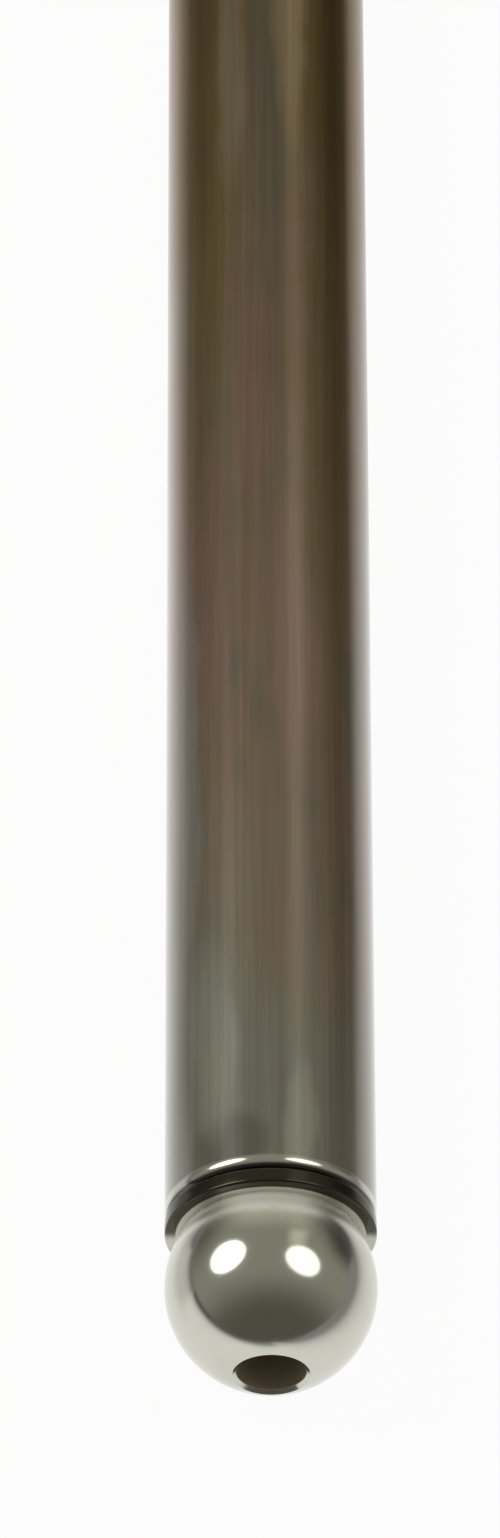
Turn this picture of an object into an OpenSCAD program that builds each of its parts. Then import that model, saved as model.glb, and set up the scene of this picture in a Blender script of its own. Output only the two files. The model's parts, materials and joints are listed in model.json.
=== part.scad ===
// Engine pushrod: a drawn steel tube with a drilled ball tip pressed into each end.
// The rod lies along +Y. The origin is the centre of the lifter-end ball.

/* [Rod] */
// Length over the full spheres of the two balls
rod_length = 198; // [120:0.5:300]

/* [Tube] */
// Outside diameter of the tube
tube_d = 7.94; // [7:0.01:9.6]
// Wall thickness of the tube
tube_wall = 1.65; // [1.3:0.05:2]
// Radius of the rounded outside edge at each tube end
tube_edge_r = 0.5; // [0.2:0.05:0.9]
// Chamfer at the mouth of the tube's bore
bore_chamfer = 0.2; // [0.1:0.05:0.3]

/* [Ball tips] */
// Diameter of the ball
ball_d = 7.94; // [7.4:0.01:9.6]
// Diameter of the ball where it runs into the front of the collar
neck_d = 6.5; // [6.2:0.02:6.8]
// Width along the rod of the collar, which is as thick as the tube and sits on its end
collar_width = 0.6; // [0.5:0.05:1.2]
// Radius of the collar's two rounded edges
collar_edge_r = 0.1; // [0.05:0.05:0.2]
// Length of the stem inside the tube
stem_length = 10; // [5:0.5:20]
// Chamfer that leads the stem into the tube
stem_lead = 0.4; // [0.2:0.05:0.6]
// Radial gap that stands for the press fit of stem and tube
press_gap = 0.01; // [0.005:0.005:0.03]

/* [Oil way] */
// Diameter of the hole drilled through each tip
oil_hole_d = 2.6; // [1.6:0.1:3]
// Broken edge where the hole opens on the ball
oil_hole_break = 0.15; // [0.05:0.05:0.3]

/* [Hidden] */
$fn = 80;

tube_r = tube_d / 2;
bore_r = tube_r - tube_wall;
ball_r = ball_d / 2;
neck_r = neck_d / 2;
stem_r = bore_r - press_gap;
oil_hole_r = oil_hole_d / 2;

// Distance between the two ball centres
ball_span = rod_length - ball_d;
// Distances of the collar's front, and of its seat on the tube's end, behind the ball's centre
collar_depth = sqrt(ball_r * ball_r - neck_r * neck_r);
seat_depth = collar_depth + collar_width;
tube_length = ball_span - 2 * seat_depth;
// Where the broken edge of the oil hole meets the ball, ahead of the ball's centre
break_r = oil_hole_r + oil_hole_break;
break_depth = sqrt(ball_r * ball_r - break_r * break_r);
stem_end = seat_depth + stem_length;
// How far a cutter runs past the face that it cuts
overrun = 1;

tube_colour = "#6b6353";
tip_colour = "#b9bab4";

// What rounding takes off an outside corner in section. X is the radius and the piece lies above X.
module rounded_corner_cut(edge_r) {
    difference() {
        translate([tube_r - edge_r, -overrun])
            square([edge_r + overrun, edge_r + overrun]);
        translate([tube_r - edge_r, edge_r])
            circle(r = edge_r);
    }
}

// What a tube end loses in section: the outer corner down to its round, and the bore's chamfer.
// Y runs from the end face into the tube.
module tube_end_cut() {
    rounded_corner_cut(tube_edge_r);
    polygon([
        [bore_r - overrun, -overrun],
        [bore_r + bore_chamfer + overrun, -overrun],
        [bore_r - overrun, bore_chamfer + overrun],
    ]);
}

// The tube's wall in section, from one end face to the other.
module tube_section() {
    difference() {
        translate([bore_r, 0])
            square([tube_wall, tube_length]);
        tube_end_cut();
        translate([0, tube_length])
            mirror([0, 1])
                tube_end_cut();
    }
}

// The collar in section, from its front by the ball to its seat on the tube's end.
module collar_section() {
    difference() {
        square([tube_r, collar_width]);
        rounded_corner_cut(collar_edge_r);
        translate([0, collar_width])
            mirror([0, 1])
                rounded_corner_cut(collar_edge_r);
    }
}

// A ball tip along +Z, with the ball's centre at the origin and the stem upwards.
module ball_tip() {
    difference() {
        union() {
            intersection() {
                sphere(r = ball_r);
                // The ball ends inside the collar
                translate([0, 0, -ball_r])
                    cylinder(r = ball_r + overrun, h = ball_r + collar_depth + collar_width / 2);
            }
            translate([0, 0, collar_depth])
                rotate_extrude()
                    collar_section();
            cylinder(r = stem_r, h = stem_end - stem_lead);
            translate([0, 0, stem_end - stem_lead])
                cylinder(r1 = stem_r, r2 = stem_r - stem_lead, h = stem_lead);
        }
        translate([0, 0, -ball_r - overrun])
            cylinder(r = oil_hole_r, h = ball_r + stem_end + 2 * overrun);
        // The broken edge is a 45 degree cone that opens away from the ball
        translate([0, 0, -break_depth - overrun])
            cylinder(
                r1 = break_r + overrun,
                r2 = oil_hole_r,
                h = oil_hole_break + overrun
            );
    }
}

// Turns what was made along +Z to lie along +Y
module lay_along_y() {
    rotate([-90, 0, 0])
        children();
}

module push_tube() {
    color(tube_colour)
        lay_along_y()
            translate([0, 0, seat_depth])
                rotate_extrude()
                    tube_section();
}

module lifter_ball_tip() {
    color(tip_colour)
        lay_along_y()
            ball_tip();
}

module rocker_ball_tip() {
    color(tip_colour)
        lay_along_y()
            translate([0, 0, ball_span])
                mirror([0, 0, 1])
                    ball_tip();
}

push_tube();
lifter_ball_tip();
rocker_ball_tip();
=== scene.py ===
"""Looks of the engine pushrod: finishes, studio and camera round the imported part."""
import json
import logging
import math
from collections.abc import Mapping, Sequence
from dataclasses import dataclass
from enum import Enum
from typing import Any, Union

import bmesh
import bpy
from mathutils import Matrix, Quaternion, Vector


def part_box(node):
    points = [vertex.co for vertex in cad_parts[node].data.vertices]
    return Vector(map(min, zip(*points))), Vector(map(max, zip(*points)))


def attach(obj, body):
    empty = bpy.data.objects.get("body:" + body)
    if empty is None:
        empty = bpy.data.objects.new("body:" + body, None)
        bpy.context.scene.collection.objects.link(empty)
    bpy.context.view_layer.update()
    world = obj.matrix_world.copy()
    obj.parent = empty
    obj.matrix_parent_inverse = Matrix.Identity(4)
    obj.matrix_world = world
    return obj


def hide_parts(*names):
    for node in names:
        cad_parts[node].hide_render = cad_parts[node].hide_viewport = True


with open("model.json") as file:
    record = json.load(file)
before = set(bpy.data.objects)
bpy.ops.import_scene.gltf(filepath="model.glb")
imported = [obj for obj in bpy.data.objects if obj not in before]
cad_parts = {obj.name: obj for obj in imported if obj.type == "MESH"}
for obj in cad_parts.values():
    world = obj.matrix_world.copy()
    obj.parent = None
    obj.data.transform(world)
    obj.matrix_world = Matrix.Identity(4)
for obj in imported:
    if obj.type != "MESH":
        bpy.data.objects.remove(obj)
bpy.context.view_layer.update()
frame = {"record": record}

Colour = tuple[float, float, float]
Direction = tuple[float, float, float]
Point = tuple[float, float]
Operand = Union["Value", float]
Input = Union["Value", float, str, Sequence[float]]

LOG = logging.getLogger("pushrod")
BODY = "root"
GUIDE = "tube_guide"
MM = 0.001
NOISE_MEAN = 0.5
SIDES = 192
SHARP_ABOVE = 30.0

BLACK: Colour = (0.0, 0.0, 0.0)
WHITE: Colour = (1.0, 1.0, 1.0)
MAUVE: Colour = (0.265, 0.148, 0.116)
PALE_MAUVE: Colour = (0.30, 0.178, 0.140)
# Grey of a painted shade patch on the tube.
SHADE_GREY: Colour = (0.10, 0.097, 0.075)
DULL_GREY: Colour = (0.27, 0.238, 0.195)
MID_GREY: Colour = (0.29, 0.283, 0.218)
# Grey of a painted sheen patch on the tube.
SHEEN_GREY: Colour = (0.32, 0.31, 0.24)
DULL_TAN: Colour = (0.28, 0.218, 0.138)
PALE_TAN: Colour = (0.33, 0.24, 0.145)
OXIDE_BLACK: Colour = (0.06, 0.052, 0.038)


@dataclass(frozen=True)
class Ramp:
    """A smooth step, which is 0 up to its start and 1 from its finish on."""

    start: float
    finish: float


@dataclass(frozen=True)
class Pattern:
    """A noise pattern, with its scales across and along the rod and its count of finer layers."""

    across: float
    along: float
    detail: float
    roughness: float = 0.55


class Value:
    """A socket of a node tree whose arithmetic adds Math nodes to that tree."""

    def __init__(self, graph: "Graph", socket: bpy.types.NodeSocket) -> None:
        """Keep the tree and the socket that gives the value."""
        self.graph = graph
        self.socket = socket

    def _math(self, operation: str, first: Operand, second: Operand = 0.0) -> "Value":
        """Add one Math node.

        Args:
            operation: The Math node's operation.
            first: The first operand.
            second: The second operand.

        Returns:
            The node's result.
        """
        inputs = {"Value": first, "Value_001": second}
        return self.graph.node("ShaderNodeMath", {"operation": operation}, inputs)

    def __add__(self, other: Operand) -> "Value":
        """Add a value or a number."""
        return self._math("ADD", self, other)

    def __radd__(self, other: float) -> "Value":
        """Add to a number."""
        return self._math("ADD", other, self)

    def __sub__(self, other: Operand) -> "Value":
        """Subtract a value or a number."""
        return self._math("SUBTRACT", self, other)

    def __rsub__(self, other: float) -> "Value":
        """Subtract from a number."""
        return self._math("SUBTRACT", other, self)

    def __mul__(self, other: Operand) -> "Value":
        """Multiply by a value or a number."""
        return self._math("MULTIPLY", self, other)

    def __rmul__(self, other: float) -> "Value":
        """Multiply a number."""
        return self._math("MULTIPLY", other, self)

    def __truediv__(self, other: Operand) -> "Value":
        """Divide by a value or a number."""
        return self._math("DIVIDE", self, other)

    def __pow__(self, other: Operand) -> "Value":
        """Raise to a power."""
        return self._math("POWER", self, other)

    def __neg__(self) -> "Value":
        """Turn the sign."""
        return self._math("SUBTRACT", 0.0, self)

    def __abs__(self) -> "Value":
        """Take the size without the sign."""
        return self._math("ABSOLUTE", self)

    def least(self, other: Operand) -> "Value":
        """Take the smaller of two values."""
        return self._math("MINIMUM", self, other)

    def most(self, other: Operand) -> "Value":
        """Take the larger of two values."""
        return self._math("MAXIMUM", self, other)

    def rise(self, ramp: Ramp) -> "Value":
        """Rise smoothly from 0 to 1.

        Args:
            ramp: The values between which it rises.

        Returns:
            The smooth step.
        """
        settings = {"interpolation_type": "SMOOTHSTEP"}
        inputs = {"Value": self, "From Min": ramp.start, "From Max": ramp.finish}
        return self.graph.node("ShaderNodeMapRange", settings, inputs)


class Graph:
    """A node tree that is written as expressions."""

    def __init__(self, tree: bpy.types.NodeTree) -> None:
        """Start from an empty tree."""
        self.tree = tree
        tree.nodes.clear()

    def node(
        self,
        kind: str,
        settings: Mapping[str, Any] | None = None,
        inputs: Mapping[str, Input] | None = None,
        output: str | None = None,
    ) -> Value:
        """Add one node, set it up and feed its sockets.

        Args:
            kind: The node's type.
            settings: The node's own properties, which are set first.
            inputs: A value or a link for each input, by the socket's identifier.
            output: The identifier of the output to return, or the first one.

        Returns:
            The chosen output.
        """
        made = self.tree.nodes.new(kind)
        for name, setting in (settings or {}).items():
            setattr(made, name, setting)
        sockets = {socket.identifier: socket for socket in made.inputs}
        for name, value in (inputs or {}).items():
            if isinstance(value, Value):
                self.tree.links.new(value.socket, sockets[name])
            else:
                sockets[name].default_value = value
        outputs = {socket.identifier: socket for socket in made.outputs}
        if not outputs:
            return Value(self, made.inputs[0])
        return Value(self, outputs[output] if output else made.outputs[0])

    def place(self, output: str) -> Value:
        """Take one of the texture coordinates."""
        return self.node("ShaderNodeTexCoord", output=output)

    def mix(self, factor: Operand, low: Input, high: Input, blend: str = "MIX") -> Value:
        """Mix two colours.

        Args:
            factor: 0 for the first colour, 1 for the second.
            low: The first colour.
            high: The second colour.
            blend: How the second colour is laid over the first.

        Returns:
            The mixed colour.
        """
        settings = {"data_type": "RGBA", "blend_type": blend}
        inputs = {
            "Factor_Float": factor,
            "A_Color": self.opaque(low),
            "B_Color": self.opaque(high),
        }
        return self.node("ShaderNodeMix", settings, inputs, "Result_Color")

    @staticmethod
    def opaque(colour: Input) -> Input:
        """Give a plain colour its alpha, and leave a link as it is."""
        return colour if isinstance(colour, Value) else (*colour, 1.0)

    def vector(self, operation: str, inputs: Mapping[str, Input]) -> Value:
        """Add one Vector Math node."""
        return self.node("ShaderNodeVectorMath", {"operation": operation}, inputs, "Vector")

    def split(self, vector: Value) -> tuple[Value, Value, Value]:
        """Split a vector into its three parts.

        Args:
            vector: The vector.

        Returns:
            Its X, Y and Z.
        """
        made = self.node("ShaderNodeSeparateXYZ", None, {"Vector": vector}).socket.node
        x, y, z = (Value(self, socket) for socket in made.outputs)
        return x, y, z

    def noise(self, place: Value, pattern: Pattern) -> Value:
        """Read a noise pattern.

        Args:
            place: Where it is read, with the rod along Z.
            pattern: The pattern.

        Returns:
            The noise, about NOISE_MEAN on average.
        """
        scale = (pattern.across, pattern.across, pattern.along)
        inputs = {
            "Vector": self.vector("MULTIPLY", {"Vector": place, "Vector_001": scale}),
            "Scale": 1.0,
            "Detail": pattern.detail,
            "Roughness": pattern.roughness,
        }
        return self.node("ShaderNodeTexNoise", {"noise_dimensions": "3D"}, inputs)

    def bump(self, height: Value, distance: float, strength: float) -> Value:
        """Turn a height to a normal.

        Args:
            height: The height, from 0 to 1.
            distance: How many metres a height of 1 stands for.
            strength: The share of the effect.

        Returns:
            The normal.
        """
        inputs = {"Height": height, "Distance": distance, "Strength": strength}
        return self.node("ShaderNodeBump", None, inputs)

    def ray(self, *names: str) -> Value:
        """Tell some kinds of ray from the others.

        Args:
            names: Outputs of the Light Path node.

        Returns:
            1 for a ray of one of the kinds, and 0 for others.
        """
        outputs = self.node("ShaderNodeLightPath").socket.node.outputs
        found = Value(self, outputs[names[0]])
        for name in names[1:]:
            found = found.most(Value(self, outputs[name]))
        return found

    def surface(self, shader: Value, target: str = "ShaderNodeOutputMaterial") -> None:
        """Send a shader to an output node of the tree."""
        self.node(target, None, {"Surface": shader})


def new_material(name: str) -> tuple[bpy.types.Material, Graph]:
    """Start a material.

    Args:
        name: The material's name.

    Returns:
        The material, and its empty node tree.
    """
    made = bpy.data.materials.new(name)
    made.use_nodes = True
    return made, Graph(made.node_tree)


class RodEnd(Enum):
    """The two ends of the rod, with the direction that each ball points in along Y."""

    LIFTER = -1
    ROCKER = 1

    @property
    def node(self) -> str:
        """The CAD node of this end's tip."""
        return f"{self.name.lower()}_ball_tip"

    @property
    def seat(self) -> str:
        """The mount of this end's ball."""
        return f"{self.name.lower()}_ball_seat"

    @property
    def hole(self) -> str:
        """The mount of this end's oil hole."""
        return f"{self.name.lower()}_oil_hole"


class PackedSizes:
    """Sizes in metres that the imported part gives."""

    def __init__(self, record: Mapping[str, Any]) -> None:
        """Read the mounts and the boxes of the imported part.

        Args:
            record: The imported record.
        """
        self.mounts = {mount["name"]: mount for mount in record["mounts"]}
        self.tube_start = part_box("push_tube")[0].y
        self.tube_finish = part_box("push_tube")[1].y
        self.stem_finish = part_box(RodEnd.LIFTER.node)[1].y

    def radius(self, mount: str) -> float:
        """Radius of a mount."""
        return self.mounts[mount]["dims"]["r_mm"] * MM

    def centre(self, mount: str) -> float:
        """Place of a mount along the rod."""
        return self.mounts[mount]["pos_m"][1]

    @property
    def span(self) -> float:
        """Distance between the two ball centres."""
        return self.centre(RodEnd.ROCKER.seat) - self.centre(RodEnd.LIFTER.seat)

    @property
    def face(self) -> float:
        """Distance of the tube's end face from the ball's centre."""
        return self.tube_start - self.centre(RodEnd.LIFTER.seat)

    @property
    def stem_end(self) -> float:
        """Distance of the stem's end from the ball's centre."""
        return self.stem_finish - self.centre(RodEnd.LIFTER.seat)


def arc(centre: Point, radius: float, start: float, finish: float, steps: int) -> list[Point]:
    """Points along an arc of a turned profile.

    Args:
        centre: Radius and place along the axis of the arc's centre.
        radius: The arc's radius.
        start: Start angle in degrees; 0 points away from the axis and 90 along it.
        finish: End angle in degrees.
        steps: How many chords the arc has.

    Returns:
        The points, both ends among them.
    """
    angles = (start + (finish - start) * step / steps for step in range(steps + 1))
    turned = (math.radians(angle) for angle in angles)
    return [(centre[0] + radius * math.cos(a), centre[1] + radius * math.sin(a)) for a in turned]


def spin(name: str, profile: Sequence[Point]) -> bpy.types.Object:
    """Turn a closed profile about the object's own Z axis, and lay that axis along Y.

    Args:
        name: Name of the new object.
        profile: Radius and place along the axis of each point, in order round the section.

    Returns:
        The object, linked to the scene.
    """
    build = bmesh.new()
    turns = [2 * math.pi * side / SIDES for side in range(SIDES)]
    rings = [
        [build.verts.new((r * math.sin(turn), -r * math.cos(turn), along)) for turn in turns]
        for r, along in profile
    ]
    for ring, after in zip(rings, rings[1:] + rings[:1]):
        for side in range(SIDES):
            following = (side + 1) % SIDES
            build.faces.new((ring[side], ring[following], after[following], after[side]))
    bmesh.ops.recalc_face_normals(build, faces=build.faces)
    mesh = bpy.data.meshes.new(name)
    build.to_mesh(mesh)
    build.free()
    mesh.shade_smooth()
    mesh.set_sharp_from_angle(angle=math.radians(SHARP_ABOVE))
    made = bpy.data.objects.new(name, mesh)
    made.rotation_euler.x = -math.pi / 2
    bpy.context.scene.collection.objects.link(made)
    return made


@dataclass(frozen=True)
class Cloud:
    """A long soft cloud of colour on the tube, with its place and half sizes in millimetres; most are
    tones of the film, one is painted sheen and one is painted shade.
    """

    film: Colour
    aside: float
    from_ball: float
    half_width: float
    half_length: float
    fade: Ramp = Ramp(0.1, 1.0)

    def share(self, aside: Value, from_ball: Value) -> Value:
        """Tell how much of the cloud lies at a place.

        Args:
            aside: The place across the rod.
            from_ball: Its distance along the rod from the nearer ball.

        Returns:
            1 in the middle of the cloud and 0 outside it.
        """
        across = (aside - self.aside) / self.half_width
        along = (from_ball - self.from_ball) / self.half_length
        return 1 - (across * across + along * along).rise(self.fade)


@dataclass(frozen=True)
class TubeSpot:
    """A spot on the tube: its place in millimetres, and what its film shows there."""

    aside: Value
    down: Value
    from_ball: Value
    wander: Value
    drift: Value
    tanned: Value
    browned: Value
    patch: Value
    lines: Value
    grain: Value
    scores: Value


@dataclass(frozen=True)
class TubeFinish:
    """Ground steel under a brown oxide film that thins to grey steel near each ball. The film is
    painted a deeper brown on both flanks as painted shade, and greyer along the top as painted sheen.

    Ramps across and along the rod are in millimetres, and those of a pattern are in its values.
    """

    grey_film: Colour = (0.204, 0.199, 0.151)
    tan_film: Colour = (0.257, 0.162, 0.104)
    brown_film: Colour = (0.212, 0.145, 0.074)
    mauve_film: Colour = MAUVE
    # Olive tone of the film's random patches, also used for the painted sheen along the top of the
    # tube.
    olive_film_and_sheen: Colour = (0.165, 0.148, 0.108)
    # Painted shade: a deeper, browner film on both flanks of the tube, with less of it next to the
    # outline.
    flank_shade_film: Colour = (0.205, 0.132, 0.044)
    worn_steel: Colour = (0.60, 0.58, 0.50)
    rim_black: Colour = OXIDE_BLACK
    mottle: Pattern = Pattern(0.16, 0.16, 4.0)
    patch: Pattern = Pattern(0.42, 0.11, 2.0)
    lines: Pattern = Pattern(5.0, 0.10, 3.0)
    grain: Pattern = Pattern(9.0, 9.0, 2.0)
    scores: Pattern = Pattern(11.0, 0.06, 1.0)
    mottle_drift: float = 16.0
    aside_drift: float = 1.2
    mottle_wander: float = 1.5
    tan_along: Ramp = Ramp(1.0, 25.0)
    brown_along: Ramp = Ramp(22.0, 62.0)
    flank_shade_along: Ramp = Ramp(14.0, 42.0)
    mauve_patch: Ramp = Ramp(0.52, 0.66)
    olive_patch: Ramp = Ramp(0.32, 0.47)
    patchy: float = 0.8
    patch_hidden: float = 0.3
    # Painted sheen: a greyer olive streak along the top middle of the tube, where the film is brown.
    top_sheen_across: Ramp = Ramp(0.2, 1.2)
    top_sheen_down: Ramp = Ramp(-3.0, -1.0)
    top_sheen: float = 0.75
    flank_across: Ramp = Ramp(1.2, 2.0)
    edge_across: Ramp = Ramp(2.7, 3.4)
    edge_pale: float = 0.5
    flank_shade: float = 0.8
    cloudy: float = 0.8
    clouds: tuple[Cloud, ...] = (
        Cloud(PALE_MAUVE, 1.0, 26.8, 1.1, 8.5),
        Cloud(MAUVE, -2.1, 30.0, 0.9, 8.5),
        Cloud(MAUVE, -0.4, 39.0, 1.0, 6.5),
        # Painted shade: a darker grey patch on the left, just above the tube's end and beside the
        # glint there.
        Cloud(SHADE_GREY, -1.5, 4.1, 1.8, 1.7),
        # Painted sheen: a paler grey patch along the bright streak on the right, near the tube's end.
        Cloud(SHEEN_GREY, 1.1, 4.6, 0.8, 3.8),
        Cloud(PALE_TAN, 0.85, 58.5, 0.85, 9.0),
        Cloud(MID_GREY, -2.2, 9.0, 1.0, 5.5),
        Cloud(DULL_TAN, -1.5, 55.5, 0.75, 8.0),
        Cloud(DULL_GREY, -3.1, 21.0, 0.6, 13.0),
    )
    line_tone: Ramp = Ramp(0.30, 0.72)
    score_tone: Ramp = Ramp(0.68, 0.74)
    plain_shade: float = 0.90
    line_shade: float = 0.16
    score_shade: float = 0.15
    rim_along: Ramp = Ramp(0.20, 0.30)
    worn_along: Ramp = Ramp(0.42, 0.62)
    grey_metal: float = 0.22
    tan_metal: float = 0.45
    brown_metal: float = 0.86
    roughness: float = 0.19
    line_rough: float = 0.10
    grain_rough: float = 0.06
    worn_smooth: float = 0.04
    line_height: float = 0.6
    grain_height: float = 0.4
    relief: float = 0.003 * MM
    relief_share: float = 0.4
    film_ior: float = 1.6
    grinding: float = 0.20
    grinding_turn: float = 0.25
    gloss_rough: float = 0.10
    brown_dull: float = 0.95

    def spot(self, graph: Graph, span: float) -> TubeSpot:
        """Read the place and the patterns at a spot.

        Args:
            graph: The material's tree.
            span: Distance between the ball centres in metres.

        Returns:
            The spot.
        """
        place = graph.vector("SCALE", {"Vector": graph.place("Object"), "Scale": 1 / MM})
        aside, down, along = graph.split(place)
        from_ball = along.least(span / MM - along)
        mottle = graph.noise(place, self.mottle) - NOISE_MEAN
        drift = from_ball + mottle * self.mottle_drift + aside * self.aside_drift
        return TubeSpot(
            aside=aside,
            down=down,
            from_ball=from_ball,
            wander=aside + mottle * self.mottle_wander,
            drift=drift,
            tanned=drift.rise(self.tan_along),
            browned=drift.rise(self.brown_along),
            patch=graph.noise(place, self.patch),
            lines=graph.noise(place, self.lines),
            grain=graph.noise(place, self.grain),
            scores=graph.noise(place, self.scores),
        )

    def film(self, graph: Graph, spot: TubeSpot) -> Value:
        """Colour the film, with painted shade on its flanks and painted sheen along its top.

        Args:
            graph: The material's tree.
            spot: The spot on the tube.

        Returns:
            The film's colour.
        """
        colour = graph.mix(spot.tanned, self.grey_film, self.tan_film)
        colour = graph.mix(spot.browned, colour, self.brown_film)
        patched = spot.tanned * (1 - spot.browned * self.patch_hidden) * self.patchy
        colour = graph.mix(patched * spot.patch.rise(self.mauve_patch), colour, self.mauve_film)
        colour = graph.mix(patched * (1 - spot.patch.rise(self.olive_patch)), colour, self.olive_film_and_sheen)
        # Painted sheen: the top of the tube near its middle is painted greyer olive.
        top_sheen = (1 - abs(spot.wander).rise(self.top_sheen_across)) * (1 - spot.down.rise(self.top_sheen_down))
        colour = graph.mix(top_sheen * spot.browned * self.top_sheen, colour, self.olive_film_and_sheen)
        # Painted shade: both flanks are painted a deeper brown, less so next to the outline, and more
        # so away from the balls.
        edge = abs(spot.aside).rise(self.edge_across)
        flank = abs(spot.wander).rise(self.flank_across) * (1 - edge * self.edge_pale)
        flank_shaded = flank * spot.drift.rise(self.flank_shade_along) * self.flank_shade
        colour = graph.mix(flank_shaded, colour, self.flank_shade_film)
        for cloud in self.clouds:
            clouded = cloud.share(spot.wander, spot.from_ball) * self.cloudy
            colour = graph.mix(clouded, colour, cloud.film)
        shade = spot.lines.rise(self.line_tone) * self.line_shade
        shade = shade + spot.scores.rise(self.score_tone) * self.score_shade + self.plain_shade
        return graph.mix(1.0, colour, shade, "MULTIPLY")

    def material(self, sizes: PackedSizes) -> bpy.types.Material:
        """Make the tube's material.

        Args:
            sizes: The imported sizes.

        Returns:
            The material.
        """
        made, graph = new_material("tube_steel")
        spot = self.spot(graph, sizes.span)
        from_face = spot.from_ball - sizes.face / MM
        worn = 1 - from_face.rise(self.worn_along)
        on_rim = 1 - from_face.rise(self.rim_along)
        colour = graph.mix(worn, self.film(graph, spot), self.worn_steel)
        colour = graph.mix(on_rim, colour, self.rim_black)
        metal = self.grey_metal + spot.tanned * (self.tan_metal - self.grey_metal)
        metal = worn.most(metal + spot.browned * (self.brown_metal - self.tan_metal))
        rough = self.roughness + (spot.lines - NOISE_MEAN) * self.line_rough
        rough = rough + (spot.grain - NOISE_MEAN) * self.grain_rough - worn * self.worn_smooth
        height = self.line_height * spot.lines + self.grain_height * spot.grain
        shader = graph.node(
            "ShaderNodeBsdfPrincipled",
            None,
            {
                "Base Color": colour,
                "Metallic": metal,
                "Roughness": rough,
                "IOR": self.film_ior,
                "Anisotropic": self.grinding,
                "Anisotropic Rotation": self.grinding_turn,
                "Coat Weight": 1 - spot.browned * self.brown_dull,
                "Coat Roughness": self.gloss_rough,
                "Normal": graph.bump(height, self.relief, self.relief_share),
            },
        )
        graph.surface(shader)
        return made


@dataclass(frozen=True)
class BallFinish:
    """Hardened steel: a mirror on the ball, satin by the collar with a painted pale sheen that is
    dimmed on both sides, black oxide on the collar with painted shade on the upper half of its front
    face, and brown in the hole.

    Ramps are in radii of the ball, from its centre, and those of a pattern are in its values.
    """

    steel: Colour = (0.62, 0.61, 0.54)
    # Pale steel of the satin band by the collar: a real satin finish painted pale and matt as a
    # painted sheen.
    satin_sheen_steel: Colour = (0.90, 0.89, 0.81)
    smudged: Colour = (0.54, 0.53, 0.46)
    # Black of the collar's oxide, also used for the painted shade on the upper half of its front
    # face.
    ring_oxide_and_shade_black: Colour = OXIDE_BLACK
    hole_brown: Colour = (0.38, 0.31, 0.23)
    smudges: Pattern = Pattern(1.6, 1.6, 4.0)
    lapping: Pattern = Pattern(9.0, 60.0, 3.0)
    waves: Pattern = Pattern(2.2, 2.2, 3.0)
    smudge_tone: Ramp = Ramp(0.45, 0.75)
    smudge: float = 0.6
    hole_edge: Ramp = Ramp(1.004, 1.02)
    # The collar's outside is black oxide all round; its front face is painted black only on the upper
    # half, as painted shade that fades out at the two sides.
    ring_out: Ramp = Ramp(0.885, 0.905)
    ring_in: Ramp = Ramp(0.5720, 0.5740)
    under: Ramp = Ramp(-0.10, 0.12)
    rim_in: Ramp = Ramp(0.598, 0.602)
    satin_in: Ramp = Ramp(0.22, 0.36)
    satin_wave: float = 0.16
    # Painted shade: the pale satin band is dimmed on each side of the middle, and full again at the
    # far sides.
    side_dimming_from: Ramp = Ramp(0.26, 0.58)
    side_dimming_until: Ramp = Ramp(0.58, 0.84)
    side_dimming: float = 0.55
    satin_sheen_matt: float = 0.76
    ring_matt: float = 0.15
    roughness: float = 0.12
    smudge_rough: float = 0.03
    lapping_rough: float = 0.05
    satin_rough: float = 0.24
    hole_rough: float = 0.3
    relief: float = 0.0006 * MM
    relief_share: float = 0.35

    def material(self, end: RodEnd, sizes: PackedSizes) -> bpy.types.Material:
        """Make the material of one tip.

        Args:
            end: Which end of the rod the tip is on.
            sizes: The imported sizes.

        Returns:
            The material.
        """
        made, graph = new_material(f"{end.name.lower()}_ball_steel")
        ball_r = sizes.radius(end.seat)
        hole_share = sizes.radius(end.hole) / ball_r
        centre = (0.0, 0.0, sizes.centre(end.seat))
        place = graph.vector("SUBTRACT", {"Vector": graph.place("Object"), "Vector_001": centre})
        place = graph.vector("SCALE", {"Vector": place, "Scale": 1 / ball_r})
        x, y, along = graph.split(place)
        inward = along * -end.value
        off_axis = (x * x + y * y) ** 0.5

        in_hole = 1 - (off_axis / hole_share).rise(self.hole_edge)
        # Painted shade: the collar's front face is black only above the axis, while the collar's
        # outside is black oxide all round.
        above = (1 - y.rise(self.under)).most(inward.rise(self.rim_in))
        ring_oxide_and_shade = off_axis.rise(self.ring_out) * inward.rise(self.ring_in) * above
        wave = (graph.noise(place, self.waves) - NOISE_MEAN) * self.satin_wave
        # Painted shade: the pale satin band is dimmed on each side of the middle.
        dimmed_aside = abs(x).rise(self.side_dimming_from) * (1 - abs(x).rise(self.side_dimming_until))
        # The satin band by the collar is a real satin finish, and it is painted pale and matt as a
        # painted sheen.
        satin_and_sheen = (inward + wave).rise(self.satin_in) * (1 - ring_oxide_and_shade) * (1 - dimmed_aside * self.side_dimming)
        smudge = graph.noise(place, self.smudges).rise(self.smudge_tone)
        lapping = graph.noise(place, self.lapping)

        colour = graph.mix(smudge * self.smudge, self.steel, self.smudged)
        colour = graph.mix(satin_and_sheen, colour, self.satin_sheen_steel)
        colour = graph.mix(ring_oxide_and_shade, colour, self.ring_oxide_and_shade_black)
        colour = graph.mix(in_hole, colour, self.hole_brown)
        matt = satin_and_sheen * (1 - ring_oxide_and_shade) * self.satin_sheen_matt + ring_oxide_and_shade * self.ring_matt
        rough = self.roughness + smudge * self.smudge_rough
        rough = rough + (lapping - NOISE_MEAN) * self.lapping_rough
        rough = rough + satin_and_sheen * self.satin_rough + in_hole * self.hole_rough
        shader = graph.node(
            "ShaderNodeBsdfPrincipled",
            None,
            {
                "Base Color": colour,
                "Metallic": (1 - in_hole) * (1 - matt),
                "Roughness": rough,
                "Normal": graph.bump(lapping, self.relief, self.relief_share),
            },
        )
        graph.surface(shader)
        return made


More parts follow.
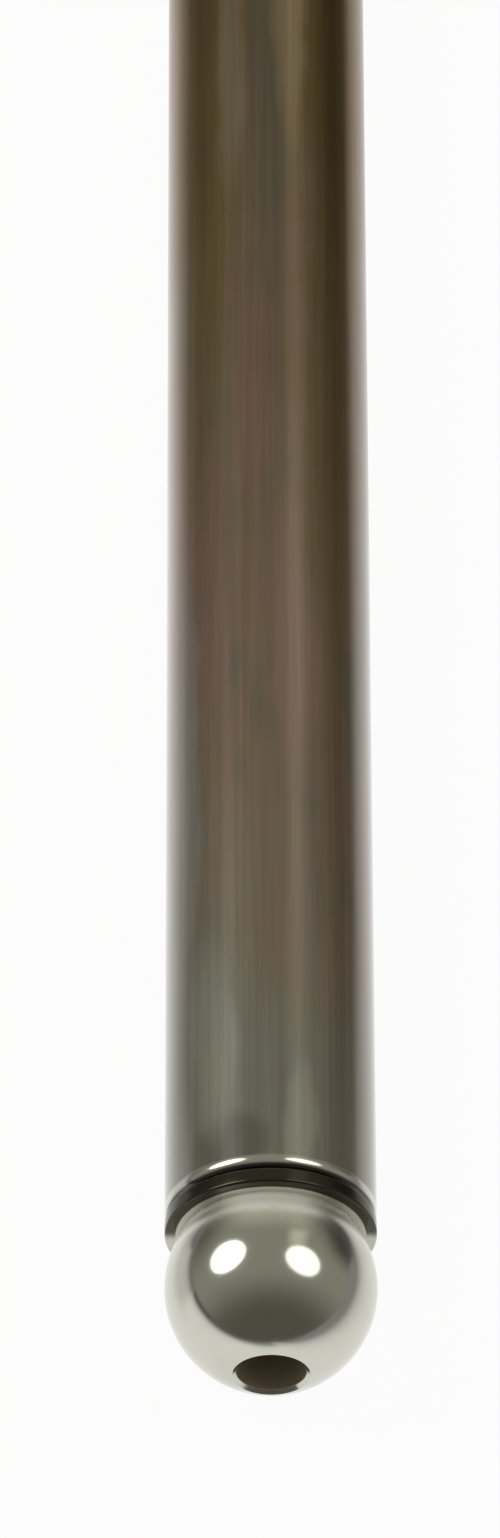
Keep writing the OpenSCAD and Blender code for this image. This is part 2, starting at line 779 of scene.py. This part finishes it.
@dataclass
class PushTube:
    """The drawn tube between the two tips."""

    sizes: PackedSizes
    finish: TubeFinish
    wall: float = 1.65 * MM
    edge_r: float = 0.5 * MM
    edge_steps: int = 16
    bore_chamfer: float = 0.2 * MM
    node: str = "push_tube"
    slot: str = "tube_steel"

    def profile(self) -> list[Point]:
        """Section of the wall.

        Returns:
            The closed outline, from the outside of the first end round to the bore.
        """
        outer = self.sizes.radius(GUIDE)
        bore = outer - self.wall
        start, finish = self.sizes.tube_start, self.sizes.tube_finish
        edge, chamfer = self.edge_r, self.bore_chamfer
        first = arc((outer - edge, start + edge), edge, -90, 0, self.edge_steps)
        last = arc((outer - edge, finish - edge), edge, 0, 90, self.edge_steps)
        far_mouth = [(bore + chamfer, finish), (bore, finish - chamfer)]
        near_mouth = [(bore, start + chamfer), (bore + chamfer, start)]
        return first + last + far_mouth + near_mouth

    def build(self) -> bpy.types.Object:
        """Turn the tube, dress it and put it in the frame.

        Returns:
            The tube.
        """
        made = spin("drawn_tube", self.profile())
        made.data.materials.append(self.finish.material(self.sizes))
        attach(made, BODY)
        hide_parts(self.node)
        return made


@dataclass
class BallTip:
    """A drilled ball tip with its collar and stem."""

    end: RodEnd
    sizes: PackedSizes
    finish: BallFinish
    hole_break: float = 0.15 * MM
    press_gap: float = 0.01 * MM
    stem_lead: float = 0.4 * MM
    neck_r: float = 3.25 * MM
    collar_edge_r: float = 0.10 * MM
    collar_edge_steps: int = 10
    ball_steps: int = 96
    slot: str = "ball_steel"

    def profile(self, tube: PushTube) -> list[Point]:
        """Section of the tip with its ball centre at 0 and its stem towards plus.

        Args:
            tube: The tube that the stem is pressed into.

        Returns:
            The closed outline, from the mouth of the oil hole round to the stem's end.
        """
        ball = self.sizes.radius(self.end.seat)
        hole = self.sizes.radius(self.end.hole)
        outer = self.sizes.radius(GUIDE)
        stem = outer - tube.wall - self.press_gap
        seat, stem_end = self.sizes.face, self.sizes.stem_end
        edge, steps = self.collar_edge_r, self.collar_edge_steps
        mouth_angle = -math.degrees(math.acos((hole + self.hole_break) / ball))
        mouth = ball * math.sin(math.radians(mouth_angle))
        neck_angle = math.degrees(math.acos(self.neck_r / ball))
        front = math.sqrt(ball**2 - self.neck_r**2)
        outline = [(hole, mouth + self.hole_break)]
        outline += arc((0.0, 0.0), ball, mouth_angle, neck_angle, self.ball_steps)
        outline += arc((outer - edge, front + edge), edge, -90, 0, steps)
        outline += arc((outer - edge, seat - edge), edge, 0, 90, steps)
        outline += [(stem, seat), (stem, stem_end - self.stem_lead)]
        outline += [(stem - self.stem_lead, stem_end), (hole, stem_end)]
        return outline

    def build(self, tube: PushTube) -> bpy.types.Object:
        """Turn the tip, dress it and put it in the frame.

        Args:
            tube: The tube that the stem is pressed into.

        Returns:
            The tip.
        """
        centre = self.sizes.centre(self.end.seat)
        placed = [(r, centre - self.end.value * along) for r, along in self.profile(tube)]
        made = spin(f"{self.end.name.lower()}_ball", placed)
        made.data.materials.append(self.finish.material(self.end, self.sizes))
        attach(made, BODY)
        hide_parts(self.end.node)
        return made


@dataclass(frozen=True)
class SoftLamp:
    """A softbox, seen from the ball in a direction and slanted along another, in metres."""

    name: str
    direction: Direction
    slant: Direction
    radiance: float
    distance: float = 0.6
    length: float = 0.41
    width: float = 0.32

    def build(self) -> bpy.types.Object:
        """Hang the lamp so that it faces the ball.

        Returns:
            The lamp.
        """
        away = Vector(self.direction).normalized()
        slant = Vector(self.slant)
        across = (slant - slant.project(away)).normalized()
        turned = Matrix((across, away.cross(across), away)).transposed()
        area = math.pi / 4 * self.length * self.width
        light = bpy.data.lights.new(self.name, "AREA")
        light.shape = "ELLIPSE"
        light.size = self.length
        light.size_y = self.width
        light.energy = self.radiance * math.pi * area
        made = bpy.data.objects.new(self.name, light)
        made.matrix_world = Matrix.Translation(away * self.distance) @ turned.to_4x4()
        made.visible_camera = False
        bpy.context.scene.collection.objects.link(made)
        return made


@dataclass(frozen=True)
class WhiteSheet:
    """The sheet under the rod, white to the camera and unevenly lit in the steel.

    Ramps are in metres from the ball, with the rod towards plus Y.
    """

    size: float = 12.0
    white: Colour = (0.93, 0.93, 0.92)
    roughness: float = 0.9
    glow_share: float = 0.95
    unlit: float = 0.72
    lit: Ramp = Ramp(0.006, 0.045)
    left_share: float = 0.45
    left_more: float = 0.80
    left_slope: float = 0.65
    left_back: Ramp = Ramp(-0.003, 0.006)
    right_share: float = 1.25
    right_slope: float = 0.35
    right_back: Ramp = Ramp(0.0, 0.02)
    right_side: Ramp = Ramp(0.0, 0.002)
    front: Ramp = Ramp(0.0, 0.01)
    front_right: Ramp = Ramp(0.0, 0.02)
    front_fade: Ramp = Ramp(0.03, 0.10)
    shade: float = 0.27
    shade_left: Ramp = Ramp(0.008, 0.016)
    shade_back: Ramp = Ramp(-0.004, 0.002)

    def light(self, x: Value, y: Value) -> Value:
        """Tell how bright the sheet is in the steel.

        Args:
            x: The place to the right of the ball.
            y: The place behind the ball.

        Returns:
            1 where the sheet is fully lit, and less elsewhere.
        """
        left = (-x).most(0.0)
        right = x.most(0.0)
        behind_left = (y - left * self.left_slope).rise(self.left_back)
        behind_right = (y - right * self.right_slope).rise(self.right_back) * x.rise(self.right_side)
        spread = left * (self.left_share + behind_left * self.left_more) + right * self.right_share
        aside = spread.rise(self.lit) * self.unlit
        away = (x * x + y * y) ** 0.5
        ahead = (-y).rise(self.front) * (1 - x.rise(self.front_right)) * away.rise(self.front_fade)
        shaded = left.rise(self.shade_left) * y.rise(self.shade_back)
        lit = (1 - aside) * (1 - aside * behind_right)
        return lit * (1 - ahead * self.unlit) * (1 - shaded * self.shade)

    def material(self) -> bpy.types.Material:
        """Make the white of the sheet, which keeps a faint shadow.

        Returns:
            The material.
        """
        made, graph = new_material("white_sheet")
        matt = graph.node(
            "ShaderNodeBsdfPrincipled",
            None,
            {
                "Base Color": graph.opaque(self.white),
                "Roughness": self.roughness,
                "Specular IOR Level": 0.0,
            },
        )
        x, y, _ = graph.split(graph.place("Object"))
        shown = graph.mix(graph.ray("Is Camera Ray"), self.light(x, y), WHITE)
        glow = graph.node("ShaderNodeEmission", None, {"Color": shown, "Strength": 1.0})
        seen = graph.ray("Is Camera Ray", "Is Glossy Ray", "Is Transmission Ray")
        inputs = {"Fac": seen * self.glow_share, "Shader": matt, "Shader_001": glow}
        graph.surface(graph.node("ShaderNodeMixShader", None, inputs))
        return made

    def build(self, height: float) -> bpy.types.Object:
        """Lay the sheet under the rod.

        Args:
            height: The sheet's height.

        Returns:
            The sheet.
        """
        build = bmesh.new()
        bmesh.ops.create_grid(build, x_segments=1, y_segments=1, size=self.size / 2)
        mesh = bpy.data.meshes.new("white_sheet")
        build.to_mesh(mesh)
        build.free()
        sheet = bpy.data.objects.new("white_sheet", mesh)
        sheet.location.z = height
        bpy.context.scene.collection.objects.link(sheet)
        sheet.data.materials.append(self.material())
        return sheet


@dataclass(frozen=True)
class DimRoom:
    """The room, white to the camera and dim in the steel, paler overhead and behind the rod.

    Ramps are in parts of a direction of length 1, with the rod towards plus Y.
    """

    tint: Colour = (0.98, 1.0, 0.85)
    front_tint: Colour = (1.04, 0.97, 0.83)
    tint_back: Ramp = Ramp(-0.90, -0.30)
    dark: float = 0.115
    overhead: float = 0.195
    overhead_back: Ramp = Ramp(-0.85, -0.10)
    behind: float = 0.32
    behind_back: Ramp = Ramp(0.55, 1.02)
    behind_aside: Ramp = Ramp(0.25, 0.75)
    low: Ramp = Ramp(0.10, 0.60)
    dark_aside: Ramp = Ramp(0.30, 0.80)
    dark_right: float = 0.75
    right_back: Ramp = Ramp(0.10, 0.50)
    dark_left: float = 0.55
    left_back: Ramp = Ramp(0.0, 0.7)
    strip: float = 0.34
    strip_x: float = 0.42
    strip_aside: Ramp = Ramp(0.03, 0.20)
    strip_back: Ramp = Ramp(0.20, 0.45)
    strip_up: Ramp = Ramp(0.25, 0.55)
    strip_end: Ramp = Ramp(0.55, 0.67)
    strip_fade: float = 0.8

    def level(self, x: Value, y: Value, z: Value) -> Value:
        """Tell how bright the room is in the steel.

        Args:
            x: The direction's part to the right.
            y: Its part towards the back.
            z: Its part upwards.

        Returns:
            The brightness.
        """
        low = 1 - z.rise(self.low)
        overhead = y.rise(self.overhead_back) * self.overhead
        behind = y.rise(self.behind_back) * (1 - abs(x).rise(self.behind_aside)) * self.behind
        right = x.rise(self.dark_aside) * low * y.rise(self.right_back) * self.dark_right
        left = (-x).rise(self.dark_aside) * low * y.rise(self.left_back) * self.dark_left
        upright = y.rise(self.strip_back) * z.rise(self.strip_up)
        upright = upright * (1 - y.rise(self.strip_end) * self.strip_fade)
        strip = (1 - abs(x - self.strip_x).rise(self.strip_aside)) * upright * self.strip
        return (self.dark + overhead + behind + strip) * (1 - right) * (1 - left)

    def build(self) -> bpy.types.World:
        """Make the room.

        Returns:
            The world.
        """
        made = bpy.data.worlds.new("dim_room")
        made.use_nodes = True
        graph = Graph(made.node_tree)
        x, y, z = graph.split(graph.place("Generated"))
        tint = graph.mix(y.rise(self.tint_back), self.front_tint, self.tint)
        tinted = graph.mix(self.level(x, y, z), BLACK, tint)
        shown = graph.mix(graph.ray("Is Camera Ray"), tinted, WHITE)
        background = graph.node("ShaderNodeBackground", None, {"Color": shown, "Strength": 1.0})
        graph.surface(background, "ShaderNodeOutputWorld")
        return made


@dataclass(frozen=True)
class Studio:
    """A white sheet, two softboxes and a dim room."""

    sheet: WhiteSheet = WhiteSheet()
    room: DimRoom = DimRoom()
    lamps: tuple[SoftLamp, ...] = (
        SoftLamp("left_softbox", (-0.698, 0.202, 0.686), (0.406, 0.148, 0.366), 3.4),
        SoftLamp("right_softbox", (0.553, 0.065, 0.83), (0.452, -0.152, -0.292), 1.6),
    )

    def build(self, floor_height: float) -> list[bpy.types.Object]:
        """Set up the sheet, the lamps, the room and the colour handling.

        Args:
            floor_height: Height of the sheet under the rod.

        Returns:
            The sheet and the lamps.
        """
        made = [self.sheet.build(floor_height)]
        made += [lamp.build() for lamp in self.lamps]
        scene = bpy.context.scene
        scene.world = self.room.build()
        scene.view_settings.view_transform = "Standard"
        return made


@dataclass(frozen=True)
class PhotoCamera:
    """A lens that looks down on the ball end as the photograph does.

    The ball's place and radius are pixels of the photograph, angles are degrees and the rest metres,
    apart from the sensor's width in millimetres.
    """

    image_w: int = 500
    image_h: int = 1538
    ball_x: float = 271.0
    ball_y: float = 1289.0
    ball_r: float = 106.6
    elevation: float = 59.0
    lean: float = -0.22
    distance: float = 0.34
    sensor: float = 36.0
    clip_start: float = 0.01
    clip_end: float = 50.0

    def build(self, ball_radius: float) -> bpy.types.Object:
        """Place the camera so that the ball at the origin falls on its pixel.

        Args:
            ball_radius: The ball's radius in metres.

        Returns:
            The camera.
        """
        focal = self.ball_r / ball_radius * self.distance
        data = bpy.data.cameras.new("photo_camera")
        data.sensor_width = self.sensor
        data.lens = focal / max(self.image_w, self.image_h) * self.sensor
        data.clip_start = self.clip_start
        data.clip_end = self.clip_end
        made = bpy.data.objects.new("photo_camera", data)
        bpy.context.scene.collection.objects.link(made)
        tilt = math.radians(self.elevation)
        away = Vector((0.0, -math.cos(tilt), math.sin(tilt)))
        right = (self.ball_x - self.image_w / 2) / focal
        down = (self.ball_y - self.image_h / 2) / focal
        ahead = Vector((0.0, 0.0, -1.0))
        to_ball = Vector((right, -down, -1.0)).normalized()
        aim = (-away).to_track_quat("-Z", "Y")
        roll = Quaternion((0.0, 0.0, 1.0), math.radians(self.lean))
        made.rotation_mode = "QUATERNION"
        made.rotation_quaternion = aim @ roll @ to_ball.rotation_difference(ahead)
        made.location = away * self.distance
        bpy.context.scene.camera = made
        return made


def main() -> None:
    """Build the camera, the rod and the studio in order."""
    logging.basicConfig(level=logging.INFO, format="%(name)s: %(message)s")
    sizes = PackedSizes(frame["record"])
    ball_radius = sizes.radius(RodEnd.LIFTER.seat)
    camera = PhotoCamera().build(ball_radius)
    LOG.info("%s with a %.0f mm lens", camera.name, camera.data.lens)
    tube = PushTube(sizes, TubeFinish())
    made = tube.build()
    LOG.info("%s with %d faces", made.name, len(made.data.polygons))
    for end in RodEnd:
        made = BallTip(end, sizes, BallFinish()).build(tube)
        LOG.info("%s with %d faces", made.name, len(made.data.polygons))
    for made in Studio().build(floor_height=-ball_radius):
        LOG.info("%s in the studio", made.name)


if __name__ == "__main__":
    main()
